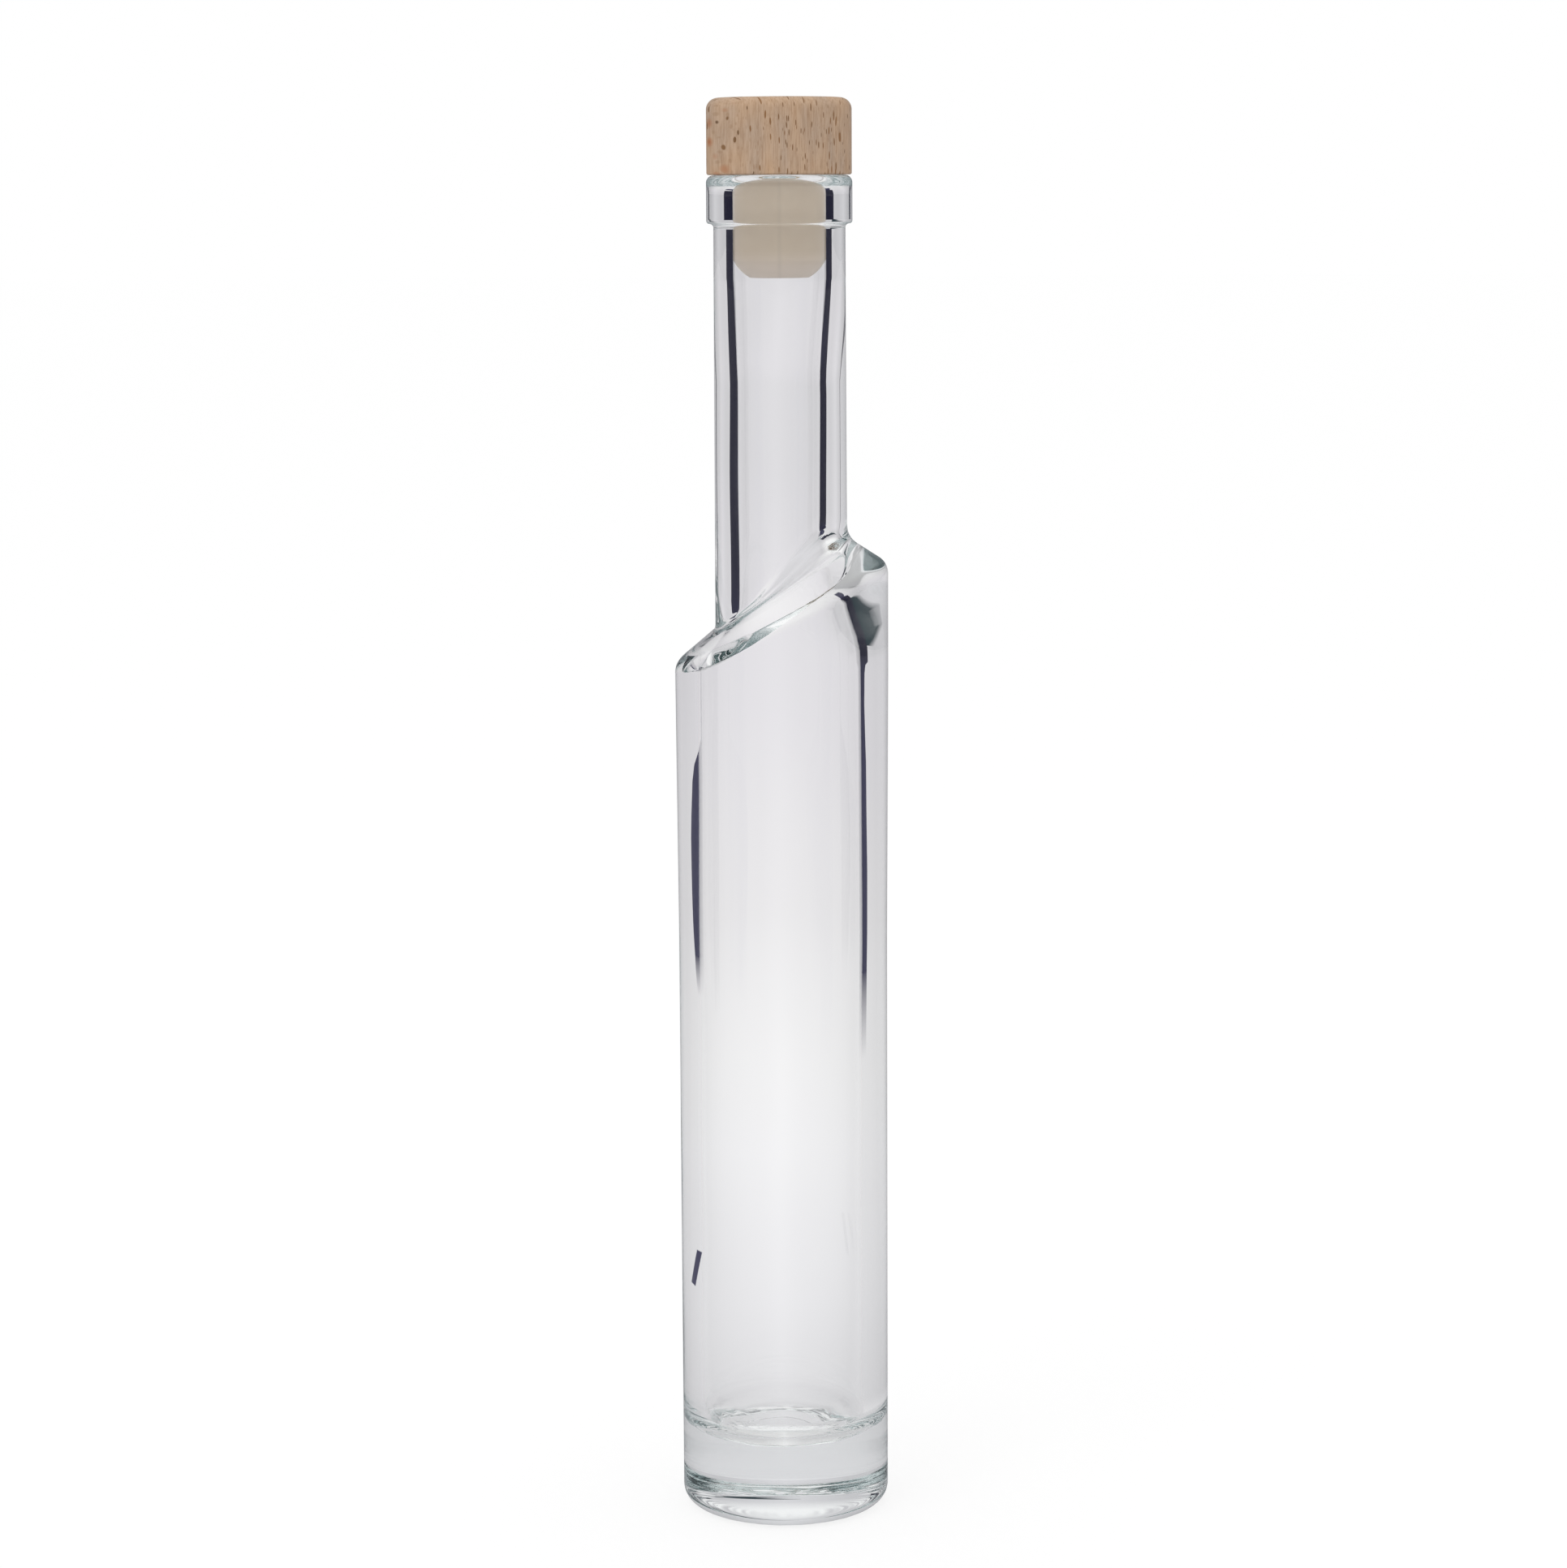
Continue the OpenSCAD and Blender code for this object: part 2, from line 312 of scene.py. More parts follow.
parts = [("base", base), ("barrel", straight(base[-1], shoulder[0])), ("shoulder", shoulder),
         ("neck", straight(shoulder[-1], finish[0])), ("finish", finish), ("mouth", mouth),
         ("bore", straight(mouth[-1], roof[0])), ("roof", roof),
         ("chamber", straight(roof[-1], floor_corner[0])), ("floor", floor_corner + floor_flat)]
outline = [(r, z, part, i) for part, points in parts for i, (r, z) in enumerate(points)]
print(len(outline), "points in the outline")

# %% [markdown]
# After the turning each ring of vertices is set in its real place. The rings of
# the shoulder and the roof lean as one, and the lean fades out along the barrel
# and the neck. The blown inside is a little off centre and never quite even,
# which is what bends the dark lines in the glass.

# %% Lean and unevenness
LEAN_FROM_Z = 100 * MM
WAVE = 0.12 * MM
WAVE_H = 30 * MM
WAVES_ROUND = 1.2


def ease(x):
    """A smooth step from 0 to 1."""
    x = min(1, max(0, x))
    return x * x * (3 - 2 * x)


def lean_share(z, low, high, top):
    """How much of the slant a ring has at a height."""
    if z < LEAN_FROM_Z or z > top:
        return 0
    if z < low:
        return (z - LEAN_FROM_Z) / (low - LEAN_FROM_Z)
    return min(1, (top - z) / (top - high))


def unevenness(turn, z):
    """How far the blown inside wall stands out at an angle and a height."""
    place = Vector((WAVES_ROUND * math.cos(turn), WAVES_ROUND * math.sin(turn), z / WAVE_H))
    return WAVE * noise.noise(place)


print("the lean ends at", round(LEAN_FROM_Z / MM), "mm")

# %% [markdown]
# The underside is knurled by the mould, so that the hot bottle stands on points
# and isn't chilled. The inner floor has a shallow dish where the glass sank, and
# its corner waves at the two sides. They are pressed into the turned rings, as
# noise in real space, and show as streaks and fine dark marks in the base.

# %% Floor and underside
CORNER_FROM_R = 9 * MM
CORNER_FADE = 3 * MM
CORNER_END = 1.5 * MM
DISH_R = 8.5 * MM
DISH_H = 0.7 * MM
DISH_RIM = 0.9 * MM
FLOOR_WAVE = 0.4 * MM
FLOOR_WAVE_L = 3.5 * MM
FRONT_SHARE = 0.2
KNURL = 0.3 * MM
KNURL_TO_R = 19.5 * MM
KNURL_FADE = 2 * MM
KNURLS_ROUND = 9
KNURL_L = 5 * MM
KNURL_GRAIN = 1.5 * MM
KNURL_MEAN = 0.5
STREAK_SHARE = 0.9
GRAIN_SHARE = 0.4


def underside(r, turn):
    """How far the knurled ring under the bottle is pressed in."""
    share = ease((r - CORNER_FROM_R) / CORNER_FADE) * ease((KNURL_TO_R - r) / KNURL_FADE)
    streak = noise.noise(Vector((KNURLS_ROUND * math.cos(turn), KNURLS_ROUND * math.sin(turn), r / KNURL_L)))
    grain = noise.noise(Vector((r * math.cos(turn), r * math.sin(turn), 0)) / KNURL_GRAIN)
    return KNURL * share * max(0, KNURL_MEAN + STREAK_SHARE * streak + GRAIN_SHARE * grain)


def floor_place(r, z, turn):
    """The real height of a point on the inner floor: a shallow dish, and a corner that waves at the sides."""
    dish = DISH_H * (1 - ease((r - DISH_R + DISH_RIM) / DISH_RIM))
    wave = noise.noise(Vector((r * math.cos(turn), r * math.sin(turn), 0)) / FLOOR_WAVE_L)
    at_side = FRONT_SHARE + (1 - FRONT_SHARE) * math.cos(turn) ** 2
    corner = ease((r - CORNER_FROM_R) / CORNER_FADE) * ease((CHAMBER_R - r) / CORNER_END) * at_side
    return z - dish + FLOOR_WAVE * wave * corner


print("knurled up to", round(KNURL_TO_R / MM, 1), "mm from the axis")

# %% [markdown]
# On the outside the mould rules: the hollow foot grows towards the high side,
# the barrel swells a little below the edge, and the neck tapers.

# %% Places on the outside
def outside_place(r, z, part, i, turn):
    """The real radius and height of a point on the outside."""
    if part == "base":
        return r, z + underside(r, turn)
    if part == "finish":
        return r, z
    if part == "shoulder":
        foot = FOOT_LOW_R + (FOOT_HIGH_R - FOOT_LOW_R) * (1 + math.cos(turn)) / 2
        r, z = shoulder_section(EDGE_WALL_R, NECK_R, SHOULDER_H, EDGE_R, foot)[i]
        z += EDGE_Z
    z += lean_share(z, EDGE_Z, EDGE_Z + SHOULDER_H, FINISH_Z - RING_FOOT_R) * SLANT * math.cos(turn)
    if part == "barrel":
        swell = min(1, max(0, (z - SWELL_Z) / (EDGE_Z - SLANT - SWELL_Z)))
        r = BARREL_R + (EDGE_WALL_R - BARREL_R) * swell
    if part == "neck":
        r = NECK_R + (NECK_TOP_R - NECK_R) * (z - EDGE_Z) / (FINISH_Z - EDGE_Z)
    return r, z


print("high side", round((EDGE_Z + SLANT) / MM, 1), "mm, low side", round((EDGE_Z - SLANT) / MM, 1), "mm")

# %% [markdown]
# Inside, only air holds the hot glass, so it gathers where it cools first. The
# corner of the roof is nearly sharp in front and rounder at the high and the low
# side. Glass is gathered under the high side, and a ledge stands in the corner
# at the front left. This uneven thickness makes the light streaks and the thin
# double line of the shoulder.

# %% Places on the inside
BLOWN_FADE = 20 * MM
ROOF_SIDE_FROM = 0.75
ROOF_SIDE_FADE = 0.2
GATHER = 2.6 * MM
GATHER_FROM_Z = 177 * MM
GATHER_H = 15 * MM
GATHER_TOP_Z = 193 * MM
GATHER_FADE = 5 * MM
GATHER_LOSS = 0.8
GATHER_NARROW = 4
LEDGE = 1.5 * MM
THIN_LEDGE = 0.1 * MM
LEDGE_TURN = math.radians(-122)
LEDGE_SPREAD = math.radians(46)
LEDGE_SLOPE = 0.19
LEDGE_FADE = 6.0 * MM


def ledge_depth(up, turn):
    """How far the ledge stands in from the roof, at a height above the corner and an angle."""
    nearness = math.exp(-2 * (1 - math.cos(turn - LEDGE_TURN)) / LEDGE_SPREAD ** 2)
    return min(THIN_LEDGE + LEDGE * nearness, up / LEDGE_SLOPE) * (1 - ease(up / LEDGE_FADE))


def gathered(r, z, turn):
    """How much thicker the gathered glass makes the wall."""
    wide = (r - NECK_BORE_R) / (CHAMBER_R - NECK_BORE_R)
    share = ease((z - GATHER_FROM_Z) / GATHER_H) * (1 - GATHER_LOSS * ease((z - GATHER_TOP_Z) / GATHER_FADE))
    return wide * GATHER * share * max(0, math.cos(turn)) ** GATHER_NARROW


def inside_place(r, z, part, i, turn):
    """The real radius and height of a point on the inside, and its share of the shift off centre."""
    if part == "roof":
        to_side = ease((abs(math.cos(turn)) - ROOF_SIDE_FROM) / ROOF_SIDE_FADE)
        rounding = ROOF_EDGE_R + (ROOF_SIDE_EDGE_R - ROOF_EDGE_R) * to_side
        r, z = shoulder_section(CHAMBER_R, NECK_BORE_R, ROOF_H, rounding, ROOF_FOOT_R)[::-1][i]
        z += ROOF_Z
    up = z - ROOF_Z
    z += lean_share(z, ROOF_Z, ROOF_Z + ROOF_H, SIZED_BORE_Z) * SLANT * math.cos(turn)
    if part == "bore":
        widening = min(1, max(0, (z - TAPERED_BORE_Z) / (SIZED_BORE_Z - TAPERED_BORE_Z)))
        r = NECK_BORE_R + (MOUTH_R - NECK_BORE_R) * widening
    blown = ease((SIZED_BORE_Z - z) / BLOWN_FADE) * min(1, r / NECK_BORE_R)
    if part == "floor":
        return r, floor_place(r, z, turn), blown
    r += blown * unevenness(turn, z)
    if part == "roof":
        r -= ledge_depth(up, turn) * min(1, (r - NECK_BORE_R) / MM)
    if part in ("chamber", "roof"):
        r -= gathered(r, z, turn)
    return r, z, blown


print("glass gathered up to", round(GATHER / MM, 1), "mm")

# %% [markdown]
# The turned mesh remembers each vertex's place in the outline, so the shaping is
# one pass over the vertices. On the axis only the dish moves a point.

# %% Glass bottle
OFF_CENTRE = Vector((-0.35, 0.1)) * MM
bm, order = spun(outline)
for v in bm.verts:
    r, z, part, i = outline[v[order]]
    if r == 0:
        v.co.z -= DISH_H if part == "floor" else 0
        continue
    turn = math.atan2(v.co.y, v.co.x)
    shift = 0
    if part in ("base", "barrel", "shoulder", "neck", "finish"):
        r, z = outside_place(r, z, part, i, turn)
    else:
        r, z, shift = inside_place(r, z, part, i, turn)
    v.co = (r * math.cos(turn) + shift * OFF_CENTRE.x, r * math.sin(turn) + shift * OFF_CENTRE.y, z)
finished(bm, "glass_bottle", "bottle", "bottle_glass", flint_glass)

# %% [markdown]
# The stopper's head is turned from a beech rod, so the grain stands upright and
# the flat top is end grain. The pattern is solid: it is counted round the pith,
# out from the pith and up the stem, so it runs through the side and the top as
# one. The stem sways a little, so the grain isn't ruled straight.

# %% Grain of the beech
PITH = Vector((20, -55, 0)) * MM
SWAY = 0.8 * MM
SWAYS = 0.12 / MM
beech, tree = new_material("beech_turned")
place = add_node(tree, "ShaderNodeTexCoord").outputs["Object"]
from_pith = add_node(tree, "ShaderNodeVectorMath", {"operation": "SUBTRACT"}, _0=place, _1=PITH).outputs[0]
sway = add_node(tree, "ShaderNodeTexNoise", Vector=place, Scale=SWAYS, Detail=1.0).outputs["Fac"]
axes = add_node(tree, "ShaderNodeSeparateXYZ", Vector=from_pith)
angle = add_node(tree, "ShaderNodeMath", {"operation": "ARCTAN2"}, _0=axes.outputs["Y"], _1=axes.outputs["X"])
level = add_node(tree, "ShaderNodeCombineXYZ", X=axes.outputs["X"], Y=axes.outputs["Y"]).outputs[0]
depth = add_node(tree, "ShaderNodeVectorMath", {"operation": "LENGTH"}, _0=level).outputs["Value"]
round_pith = add_node(tree, "ShaderNodeMath", {"operation": "MULTIPLY"}, _0=angle.outputs[0], _1=PITH.length)
swayed = add_node(tree, "ShaderNodeMath", {"operation": "MULTIPLY_ADD"},
                  _0=sway, _1=SWAY, _2=round_pith.outputs[0])
grain_place = add_node(tree, "ShaderNodeCombineXYZ", X=swayed.outputs[0], Y=depth,
                       Z=axes.outputs["Z"]).outputs[0]


def in_cells(cell):
    """The place in the grain, counted in cells of a size."""
    return add_node(tree, "ShaderNodeVectorMath", {"operation": "DIVIDE"}, _0=grain_place, _1=cell).outputs[0]


print("pith", round(PITH.length / MM), "mm away")

# %% [markdown]
# Beech is known by its rays: sheets of cells that run out from the pith. Cut
# across, as on the front, they are short brown spindles about 2 mm tall. Cut
# along, as on the left, they are wide, soft, rust-coloured flakes. Each is the
# middle of a Voronoi cell that is thin, tall and deep like the ray itself.

# %% Rays of the beech
SPINDLES = Vector((0.66, 8.0, 2.9)) * MM
SMALL_SPINDLES = Vector((0.42, 6.0, 1.5)) * MM
FLAKES = Vector((2.2, 9.0, 3.4)) * MM
FLAKES_FROM_X = -8 * MM
FLAKES_FULL_X = -11 * MM
SMALLEST_RAY = 0.08


def rays(cell, largest, soft):
    """Where the rays show, up to a largest share of their cells, and a chance for each."""
    cells = add_node(tree, "ShaderNodeTexVoronoi", {"feature": "F1"}, Vector=in_cells(cell),
                     Scale=1.0, Randomness=1.0)
    size = add_node(tree, "ShaderNodeMapRange", Value=cells.outputs["Color"], From_Min=0.05, From_Max=1.0,
                    To_Min=SMALLEST_RAY, To_Max=largest)
    inside = add_node(tree, "ShaderNodeMath", {"operation": "SUBTRACT"},
                      _0=size.outputs[0], _1=cells.outputs["Distance"])
    shape = add_node(tree, "ShaderNodeMapRange", Value=inside.outputs[0], From_Min=0.0, From_Max=soft)
    chance = add_node(tree, "ShaderNodeSeparateColor", Color=cells.outputs["Color"]).outputs["Green"]
    return shape.outputs[0], chance


spindle, chance = rays(SPINDLES, largest=0.4, soft=0.06)
small_spindle, _ = rays(SMALL_SPINDLES, largest=0.46, soft=0.15)
flake, _ = rays(FLAKES, largest=0.46, soft=0.3)
axes = add_node(tree, "ShaderNodeSeparateXYZ", Vector=place)
to_left = add_node(tree, "ShaderNodeMapRange", {"interpolation_type": "SMOOTHSTEP"}, Value=axes.outputs["X"],
                   From_Min=FLAKES_FROM_X, From_Max=FLAKES_FULL_X)
left_flake = add_node(tree, "ShaderNodeMath", {"operation": "MULTIPLY"}, _0=flake, _1=to_left.outputs[0])
print("three sizes of rays")

# %% [markdown]
# Steamed beech is a pale, pinkish tan. It changes in broad patches, darker
# fibres run up it, and the rays lie on top. It is finely sanded under a thin matt
# lacquer, so it is dull and its fibres can just be felt.

# %% Beech
FIBRES = Vector((0.3, 0.6, 4.0)) * MM
PATCHES = Vector((4.0, 9.0, 12.0)) * MM
SPINDLE_STRENGTH = 0.95
SMALL_SPINDLE_STRENGTH = 0.35
fibres = add_node(tree, "ShaderNodeTexNoise", Vector=in_cells(FIBRES), Scale=1.0, Detail=4.0,
                  Roughness=0.6).outputs["Fac"]
patches = add_node(tree, "ShaderNodeTexNoise", Vector=in_cells(PATCHES), Scale=1.0, Detail=1.0).outputs["Fac"]
patched = add_node(tree, "ShaderNodeMapRange", Value=patches, From_Min=0.3, From_Max=0.7)
wood_tone = add_node(tree, "ShaderNodeMix", {"data_type": "RGBA"}, Factor=patched.outputs[0],
                     _6=linear("#c1a182"), _7=linear("#b59e89"))
fibrous = add_node(tree, "ShaderNodeMapRange", Value=fibres, From_Min=0.4, From_Max=0.75)
with_fibres = add_node(tree, "ShaderNodeMix", {"data_type": "RGBA", "blend_type": "MULTIPLY"},
                       Factor=fibrous.outputs[0], _6=wood_tone.outputs[2], _7=linear("#dcd0c2"))
with_flakes = add_node(tree, "ShaderNodeMix", {"data_type": "RGBA"}, Factor=left_flake.outputs[0],
                       _6=with_fibres.outputs[2], _7=linear("#a8683a"))
faint = add_node(tree, "ShaderNodeMath", {"operation": "MULTIPLY"},
                 _0=small_spindle, _1=SMALL_SPINDLE_STRENGTH)
with_small = add_node(tree, "ShaderNodeMix", {"data_type": "RGBA"}, Factor=faint.outputs[0],
                      _6=with_flakes.outputs[2], _7=linear("#93714f"))
spindle_tone = add_node(tree, "ShaderNodeMix", {"data_type": "RGBA"}, Factor=chance,
                        _6=linear("#5e4527"), _7=linear("#8c6339"))
strong = add_node(tree, "ShaderNodeMath", {"operation": "MULTIPLY"}, _0=spindle, _1=SPINDLE_STRENGTH)
with_spindles = add_node(tree, "ShaderNodeMix", {"data_type": "RGBA"}, Factor=strong.outputs[0],
                         _6=with_small.outputs[2], _7=spindle_tone.outputs[2])
relief = add_node(tree, "ShaderNodeBump", Strength=0.25, Distance=0.05 * MM, Height=fibres).outputs[0]
shader = add_node(tree, "ShaderNodeBsdfPrincipled", Base_Color=with_spindles.outputs[2],
                  Roughness=0.55, Normal=relief)
add_node(tree, "ShaderNodeOutputMaterial", Surface=shader.outputs["BSDF"])
print(beech.name)

# %% [markdown]
# The head is a plain turned cylinder with a well rounded top edge. A blind hole
# in its underside takes the plug's spigot, with room for the film of glue.

# %% Beech head
HEAD_LOW, HEAD_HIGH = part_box("stopper_head")
HEAD_R = HEAD_HIGH.x
HEAD_TOP_R = 2.3 * MM
HEAD_LOW_R = 0.4 * MM
SPIGOT_R = 6.0 * MM
SPIGOT_H = 6.5 * MM
GLUE_T = 0.2 * MM
socket_r = SPIGOT_R + GLUE_T
socket_top = HEAD_LOW.z + SPIGOT_H + GLUE_T
head_outline = joined([(0, socket_top)], [(socket_r, socket_top)], [(socket_r, HEAD_LOW.z)],
                      arc(HEAD_R - HEAD_LOW_R, HEAD_LOW.z + HEAD_LOW_R, HEAD_LOW_R, -90, 0, 5),
                      arc(HEAD_R - HEAD_TOP_R, HEAD_HIGH.z - HEAD_TOP_R, HEAD_TOP_R, 0, 90),
                      [(0, HEAD_HIGH.z)])
bm, _ = spun(head_outline)
finished(bm, "beech_head", "stopper", "stopper_head", beech)

# %% [markdown]
# The plug is a foamed synthetic cork with a fine closed skin, dull and nearly
# even in colour. Its tip is painted paler, as light thrown up from the paper
# below, and a mould line runs down its middle.

# %% Synthetic cork
PLUG_LOW, PLUG_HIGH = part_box("stopper_plug")
MOTTLES = 0.5 / MM
PITS = 2.5 / MM
BOUNCE_LIGHT_FROM_Z = PLUG_LOW.z + 6 * MM
BOUNCE_LIGHT_FULL_Z = PLUG_LOW.z + 1 * MM
SEAM_W = 0.7 * MM
SEAM_SHADE = 0.95
foam, tree = new_material("synthetic_cork")
place = add_node(tree, "ShaderNodeTexCoord").outputs["Object"]
mottle = add_node(tree, "ShaderNodeTexNoise", Vector=place, Scale=MOTTLES, Detail=2.0).outputs["Fac"]
skin = add_node(tree, "ShaderNodeMix", {"data_type": "RGBA"}, Factor=mottle,
                _6=linear("#f2e2cb"), _7=linear("#ebd9c1"))
axes = add_node(tree, "ShaderNodeSeparateXYZ", Vector=place)
# The tip is painted paler: painted light thrown up from the paper below.
painted_bounce_share = add_node(tree, "ShaderNodeMapRange", {"interpolation_type": "SMOOTHSTEP"}, Value=axes.outputs["Z"],
                  From_Min=BOUNCE_LIGHT_FROM_Z, From_Max=BOUNCE_LIGHT_FULL_Z)
with_painted_bounce = add_node(tree, "ShaderNodeMix", {"data_type": "RGBA"}, Factor=painted_bounce_share.outputs[0],
                 _6=skin.outputs[2], _7=linear("#fff0e0"))
sideways = add_node(tree, "ShaderNodeMath", {"operation": "ABSOLUTE"}, _0=axes.outputs["X"])
off_seam = add_node(tree, "ShaderNodeMapRange", {"interpolation_type": "SMOOTHSTEP"},
                    Value=sideways.outputs[0], From_Min=0.0, From_Max=SEAM_W, To_Min=SEAM_SHADE, To_Max=1.0)
with_seam = add_node(tree, "ShaderNodeVectorMath", {"operation": "SCALE"}, _0=with_painted_bounce.outputs[2],
                     Scale=off_seam.outputs[0])
pits = add_node(tree, "ShaderNodeTexNoise", Vector=place, Scale=PITS, Detail=1.0).outputs["Fac"]
relief = add_node(tree, "ShaderNodeBump", Strength=0.2, Distance=0.05 * MM, Height=pits).outputs[0]
shader = add_node(tree, "ShaderNodeBsdfPrincipled", Base_Color=with_seam.outputs[0],
                  Roughness=0.5, Normal=relief)
add_node(tree, "ShaderNodeOutputMaterial", Surface=shader.outputs["BSDF"])
print(foam.name)

# %% [markdown]
# The tip is chamfered and a little round, so that it finds the bore. Its bulge
# is a shallow arc between the straight side and the flat end: the arc's centre
# lies on the line that crosses the middle of the chamfer squarely.

# %% Plug
PLUG_R = PLUG_HIGH.x
TIP_H = 3.6 * MM
TIP_R = 5.85 * MM
TIP_BULGE_R = 8 * MM
chord = Vector((PLUG_R - TIP_R, TIP_H))
half_turn = math.asin(chord.length / 2 / TIP_BULGE_R)
facing = math.atan2(-chord.x, chord.y)
middle = Vector((PLUG_R + TIP_R, 2 * PLUG_LOW.z + TIP_H)) / 2
centre = middle - Vector((math.cos(facing), math.sin(facing))) * TIP_BULGE_R * math.cos(half_turn)
tip = arc(centre.x, centre.y, TIP_BULGE_R, math.degrees(facing - half_turn), math.degrees(facing + half_turn))
plug_outline = joined([(0, PLUG_LOW.z)], tip, [(PLUG_R, HEAD_LOW.z)], [(SPIGOT_R, HEAD_LOW.z)],
                      [(SPIGOT_R, HEAD_LOW.z + SPIGOT_H)], [(0, HEAD_LOW.z + SPIGOT_H)])
bm, _ = spun(plug_outline)
finished(bm, "cork_plug", "stopper", "stopper_plug", foam)

# %% [markdown]
# The glue is a film of cured, amber-tinted glue between the head and the plug.
# It keeps its CAD mesh, since nothing of it shows but a thin edge, and gets a
# satin finish with faint streaks from the spreading.

# %% Cured glue
STREAKS = 0.7 / MM
glue, tree = new_material("cured_glue")
place = add_node(tree, "ShaderNodeTexCoord").outputs["Object"]
streaks = add_node(tree, "ShaderNodeTexNoise", Vector=place, Scale=STREAKS, Detail=2.0).outputs["Fac"]
tone = add_node(tree, "ShaderNodeMix", {"data_type": "RGBA"}, Factor=streaks,
                _6=linear("#d9cba6"), _7=linear("#c9b88e"))
shader = add_node(tree, "ShaderNodeBsdfPrincipled", Base_Color=tone.outputs[2], Roughness=0.35)
add_node(tree, "ShaderNodeOutputMaterial", Surface=shader.outputs["BSDF"])
glue_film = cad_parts["stopper_glue"]
glue_film.data.materials.clear()
glue_film.data.materials.append(glue)
print(glue.name, "on", glue_film.name)

# %% [markdown]
# The stage is the studio round the bottle: white paper, an even light from all
# sides with one soft lamp, and black cards at the sides. Clear glass on white
# has no outline of its own: it shows only what it bends into view, so the
# photographer stands cards out of the picture, and they become the dark lines.
# What really stood there isn't known: the cards, the curtain and the clamp are
# guesses, placed where the glass bends them to the photograph's dark marks.

# %% Helper for the stage
def stage_piece(bm, name, material):
    """Turns a bmesh into a piece of the studio."""
    mesh = bpy.data.meshes.new(name)
    bm.to_mesh(mesh)
    bm.free()
    mesh.materials.append(material)
    piece = bpy.data.objects.new(name, mesh)
    bpy.context.scene.collection.objects.link(piece)
    return piece


# %% [markdown]
# A studio isn't equally bright all round. It is dimmer towards the sides, and
# that greys the edges of the glass. The ghosts are light that was mirrored three
# times in the wall before it came out. The photograph shows less of it than the
# render, so the studio is dimmed in them, and the dark lines stay dark.

# %% Shades of the studio
SIDE_SHADE = 0.82
SIDE_SHARE = 0.45
GHOST_MIRRORS = 3.0
GHOST_SHADE = 0.35


def side_shade(tree, direction):
    """How much dimmer the studio is towards the sides, from the share of a direction that is sideways."""
    axes = add_node(tree, "ShaderNodeSeparateXYZ", Vector=direction)
    level = add_node(tree, "ShaderNodeCombineXYZ", X=axes.outputs["X"], Y=axes.outputs["Y"]).outputs[0]
    unit = add_node(tree, "ShaderNodeVectorMath", {"operation": "NORMALIZE"}, _0=level).outputs[0]
    plan = add_node(tree, "ShaderNodeSeparateXYZ", Vector=unit)
    sideways = add_node(tree, "ShaderNodeMath", {"operation": "ABSOLUTE"}, _0=plan.outputs["X"])
    return add_node(tree, "ShaderNodeMapRange", Value=sideways.outputs[0], From_Min=0.0, From_Max=SIDE_SHARE,
                    To_Min=1.0, To_Max=SIDE_SHADE).outputs[0]


def ghost_level(tree, path):
    """How bright the studio is in the ghosts."""
    ghost = add_node(tree, "ShaderNodeMath", {"operation": "COMPARE"},
                     _0=path.outputs["Glossy Depth"], _1=GHOST_MIRRORS, _2=0.5)
    return add_node(tree, "ShaderNodeMapRange", Value=ghost.outputs[0],
                    To_Min=1.0, To_Max=GHOST_SHADE).outputs[0]


print("ghosts at", GHOST_SHADE)

# %% [markdown]
# The paper is matt and takes the bottle's shadow. What glass sees of it is a
# tone by distance with painted light and shade: a painted pool of light, white,
# under the bottle where the glass gathers light, a painted shade of grey round it
# where the bottle takes the light, and a painted fall-off, a little darker far
# away. The camera itself sees plain white. The bare outside of the glass mirrors
# a darker room, so that it has no haze.

# %% Paper floor
FLOOR_SIZE = 12.0
MATT_SHARE = 0.2
MIRRORED_ROOM = "#6a6a70"
# The paper's tones are painted light and shade: a pool of light under the bottle, its shade round it, and a
# fall-off far away.
PAPER_LIGHT_AND_SHADE = (  # metres from the bottle's axis, and the paper's tone there
    (0.013, "#ffffff"), (0.021, "#dedde0"), (0.05, "#dedde0"), (0.15, "#edecef"), (0.3, "#f7f6f8"),
    (0.42, "#f7f6f7"), (0.7, "#edebed"), (1.3, "#e6e3e8"), (3.0, "#dddbdf"))
PAPER_END = PAPER_LIGHT_AND_SHADE[-1][0]

paper, tree = new_material("white_paper")
path = add_node(tree, "ShaderNodeLightPath")
place = add_node(tree, "ShaderNodeTexCoord").outputs["Object"]
away = add_node(tree, "ShaderNodeVectorMath", {"operation": "LENGTH"}, _0=place).outputs["Value"]
away_share = add_node(tree, "ShaderNodeMath", {"operation": "DIVIDE"}, _0=away, _1=PAPER_END)
ramp = add_node(tree, "ShaderNodeValToRGB", Fac=away_share.outputs[0])
while len(ramp.color_ramp.elements) < len(PAPER_LIGHT_AND_SHADE):
    ramp.color_ramp.elements.new(0.5)
for element, (distance, tone) in zip(ramp.color_ramp.elements, PAPER_LIGHT_AND_SHADE):
    element.position = distance / PAPER_END
    element.color = linear(tone)
shaded = ramp.outputs["Color"]
for level in (side_shade(tree, place), ghost_level(tree, path)):
    shaded = add_node(tree, "ShaderNodeVectorMath", {"operation": "SCALE"}, _0=shaded, Scale=level).outputs[0]
mirrors = add_node(tree, "ShaderNodeMath", {"operation": "MINIMUM"}, _0=path.outputs["Glossy Depth"], _1=1.0)
bare = add_node(tree, "ShaderNodeMath", {"operation": "SUBTRACT", "use_clamp": True},
                _0=mirrors.outputs[0], _1=path.outputs["Transmission Depth"])
mirrored = add_node(tree, "ShaderNodeMix", {"data_type": "RGBA"}, Factor=bare.outputs[0],
                    _6=shaded, _7=linear(MIRRORED_ROOM))
